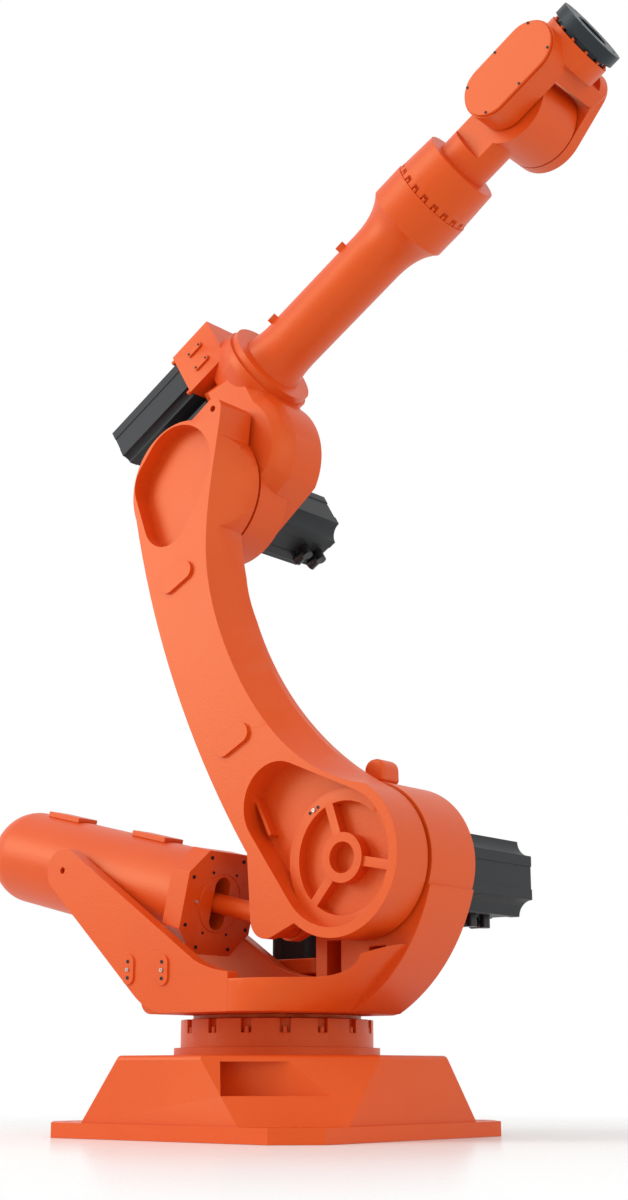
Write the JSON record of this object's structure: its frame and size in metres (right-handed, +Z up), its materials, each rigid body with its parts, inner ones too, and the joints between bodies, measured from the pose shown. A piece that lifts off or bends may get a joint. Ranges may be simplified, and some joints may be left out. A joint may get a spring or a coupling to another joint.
{
  "type": "industrial robot arm",
  "caption": "Six-axis floor-standing robot arm: turning base, bowed link arm with a balancer cylinder, slim forearm and a forked wrist with a bolted tool flange.",
  "frame": {"origin": "centre of the base's underside, on the turning axis", "axes": "+Z up along the turning axis, +X the way the arm reaches, the link arm on the -Y side"},
  "size_m": [1.947, 0.925, 2.8304],
  "materials": {
    "orange_paint": "satin",
    "motor_paint": "satin",
    "black_plastic": "matt",
    "bright_steel": "ground",
    "blackened_steel": "satin"
  },
  "bodies": {
    "base": {"base_casting": "orange_paint", "bearing_ring": "orange_paint"},
    "carousel": {"carousel_floor": "orange_paint", "near_side_beam": "orange_paint", "far_side_beam": "orange_paint", "shoulder_bracket": "orange_paint", "shoulder_stop": "orange_paint", "turning_motor_flange": "orange_paint", "turning_motor": "motor_paint", "shoulder_adaptor": "motor_paint", "shoulder_motor": "motor_paint", "shoulder_plugs": "black_plastic"},
    "balancer": {"balancer_cylinder": "orange_paint", "balancer_end_plate": "orange_paint", "balancer_saddles": "orange_paint"},
    "link": {"link_arm": "orange_paint", "clevis_pin": "bright_steel"},
    "rod": {"balancer_rod": "orange_paint"},
    "upper_arm": {"elbow_housing": "orange_paint", "cover_strips": "orange_paint", "elbow_adaptor": "motor_paint", "elbow_motor": "motor_paint", "elbow_plugs": "black_plastic", "near_wrist_motor": "motor_paint", "far_wrist_motor": "motor_paint", "low_wrist_motor": "motor_paint", "forearm_tube": "orange_paint", "wrist_housing": "orange_paint"},
    "wrist": {"wrist_tube": "orange_paint"},
    "fork": {"wrist_fork": "orange_paint", "fork_cover": "orange_paint"},
    "flange": {"tool_flange": "blackened_steel"}
  },
  "joints": [
    {"name": "turn", "type": "hinge", "parent": "base", "child": "carousel", "pos_m": [0, 0, 0.284], "axis": [0, 0, 1], "range_deg": [-180, 180]},
    {"name": "shoulder", "type": "hinge", "parent": "carousel", "child": "link", "pos_m": [0.38, 0, 0.655], "axis": [0, 1, 0], "range_deg": [-18.3, 101.7]},
    {"name": "balancer_swing", "type": "hinge", "parent": "carousel", "child": "balancer", "pos_m": [-0.44, -0.185, 0.668], "axis": [0, 1, 0], "range_deg": [-34, 6.5]},
    {"name": "rod_swing", "type": "hinge", "parent": "link", "child": "rod", "pos_m": [0.17058, -0.185, 0.51945], "axis": [0, 1, 0], "range_deg": [-136, 25]},
    {"name": "elbow", "type": "hinge", "parent": "link", "child": "upper_arm", "pos_m": [-0.1502, 0, 1.70918], "axis": [0, -1, 0], "range_deg": [-65, 90]},
    {"name": "wrist_roll", "type": "hinge", "parent": "upper_arm", "child": "wrist", "pos_m": [-0.29383, 0, 1.95302], "axis": [0.8616, 0, 0.5075], "range_deg": [-350, 350]},
    {"name": "wrist_bend", "type": "hinge", "parent": "wrist", "child": "fork", "pos_m": [0.81336, 0, 2.60521], "axis": [0, 1, 0], "range_deg": [-115, 115]},
    {"name": "tool_turn", "type": "hinge", "parent": "fork", "child": "flange", "pos_m": [0.81336, 0, 2.60521], "axis": [0.8616, 0, 0.5075], "range_deg": [-350, 350]}
  ],
  "couplings": [
    {"joint": "balancer_swing", "follows": "shoulder", "ratio": -0.325},
    {"joint": "rod_swing", "follows": "shoulder", "ratio": -1.325}
  ]
}
